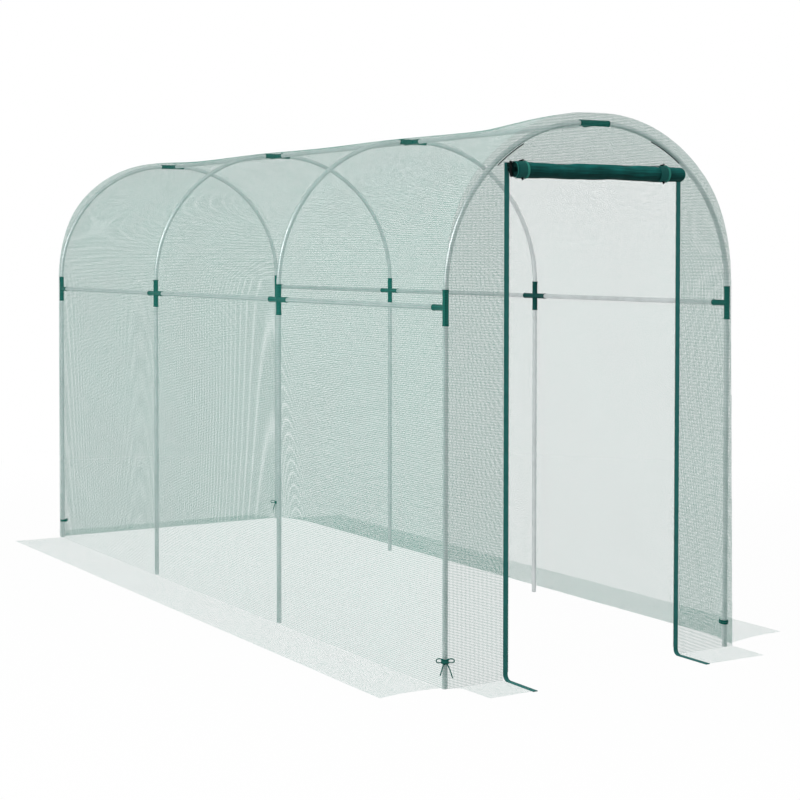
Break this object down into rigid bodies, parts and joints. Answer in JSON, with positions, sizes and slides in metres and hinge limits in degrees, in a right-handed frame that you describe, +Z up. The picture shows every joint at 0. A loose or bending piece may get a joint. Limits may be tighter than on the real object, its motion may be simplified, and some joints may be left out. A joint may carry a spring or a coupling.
{
  "type": "fruit cage",
  "caption": "Walk-in tunnel fruit cage: round-topped steel tube hoops and rails in green moulded sockets, fitted netting with ground skirts and a roll-up zipped door.",
  "frame": {"origin": "on the ground under the middle of the cage, skirts included", "axes": "+Z up, +Y from the door end to the back, +X to the right of someone who walks in"},
  "size_m": [1.8, 3.94, 1.9173],
  "materials": {
    "tube_steel": "galvanised, dull grey",
    "socket_plastic": "moulded, satin dark green",
    "netting": "open square mesh, dark green",
    "skirt_netting": "open square mesh, dark green",
    "rolled_netting": "many layers of mesh, dark green",
    "binding_tape": "woven tape, stitched",
    "strap_webbing": "woven band with a dark toggle",
    "slider_plastic": "moulded, dark green",
    "tie_webbing": "narrow woven tape"
  },
  "bodies": {
    "cage": {"leg_1_left": "tube_steel", "leg_1_right": "tube_steel", "leg_2_left": "tube_steel", "leg_2_right": "tube_steel", "leg_3_left": "tube_steel", "leg_3_right": "tube_steel", "leg_4_left": "tube_steel", "leg_4_right": "tube_steel", "arch_1_left": "tube_steel", "arch_1_right": "tube_steel", "arch_2_left": "tube_steel", "arch_2_right": "tube_steel", "arch_3_left": "tube_steel", "arch_3_right": "tube_steel", "arch_4_left": "tube_steel", "arch_4_right": "tube_steel", "ridge_tube_1": "tube_steel", "ridge_tube_2": "tube_steel", "ridge_tube_3": "tube_steel", "rail_left_1": "tube_steel", "rail_left_2": "tube_steel", "rail_left_3": "tube_steel", "rail_right_1": "tube_steel", "rail_right_2": "tube_steel", "rail_right_3": "tube_steel", "crown_connector_1": "socket_plastic", "crown_connector_2": "socket_plastic", "crown_connector_3": "socket_plastic", "crown_connector_4": "socket_plastic", "side_connector_1_left": "socket_plastic", "side_connector_1_right": "socket_plastic", "side_connector_2_left": "socket_plastic", "side_connector_2_right": "socket_plastic", "side_connector_3_left": "socket_plastic", "side_connector_3_right": "socket_plastic", "side_connector_4_left": "socket_plastic", "side_connector_4_right": "socket_plastic", "roof_net": "netting", "side_net_left": "netting", "side_net_right": "netting", "back_net": "netting", "front_net_left": "netting", "front_net_right": "netting", "front_net_top": "netting", "skirt_left": "skirt_netting", "skirt_right": "skirt_netting", "skirt_back": "skirt_netting", "skirt_front_left": "skirt_netting", "skirt_front_right": "skirt_netting", "door_binding": "binding_tape", "door_curtain": "rolled_netting", "roll_strap_left": "strap_webbing", "roll_strap_right": "strap_webbing", "post_tie_front_left": "tie_webbing", "post_tie_front_right": "tie_webbing", "post_tie_back_left": "tie_webbing", "post_tie_back_right": "tie_webbing"},
    "door_roll": {"door_roll": "rolled_netting"},
    "zip_left": {"zip_slider_left": "slider_plastic"},
    "zip_right": {"zip_slider_right": "slider_plastic"}
  },
  "joints": [
    {"name": "door_unroll", "type": "slide", "parent": "cage", "child": "door_roll", "axis": [0, 0, 1], "range_m": [-1.66, 0], "deforming": ["door_curtain", "roll_strap_left", "roll_strap_right"]},
    {"name": "zip_left_slide", "type": "slide", "parent": "cage", "child": "zip_left", "axis": [0, 0, 1], "range_m": [-1.66, 0]},
    {"name": "zip_right_slide", "type": "slide", "parent": "cage", "child": "zip_right", "axis": [0, 0, 1], "range_m": [-1.66, 0]}
  ],
  "couplings": [
    {"joint": "zip_left_slide", "follows": "door_unroll", "ratio": 1},
    {"joint": "zip_right_slide", "follows": "door_unroll", "ratio": 1}
  ]
}
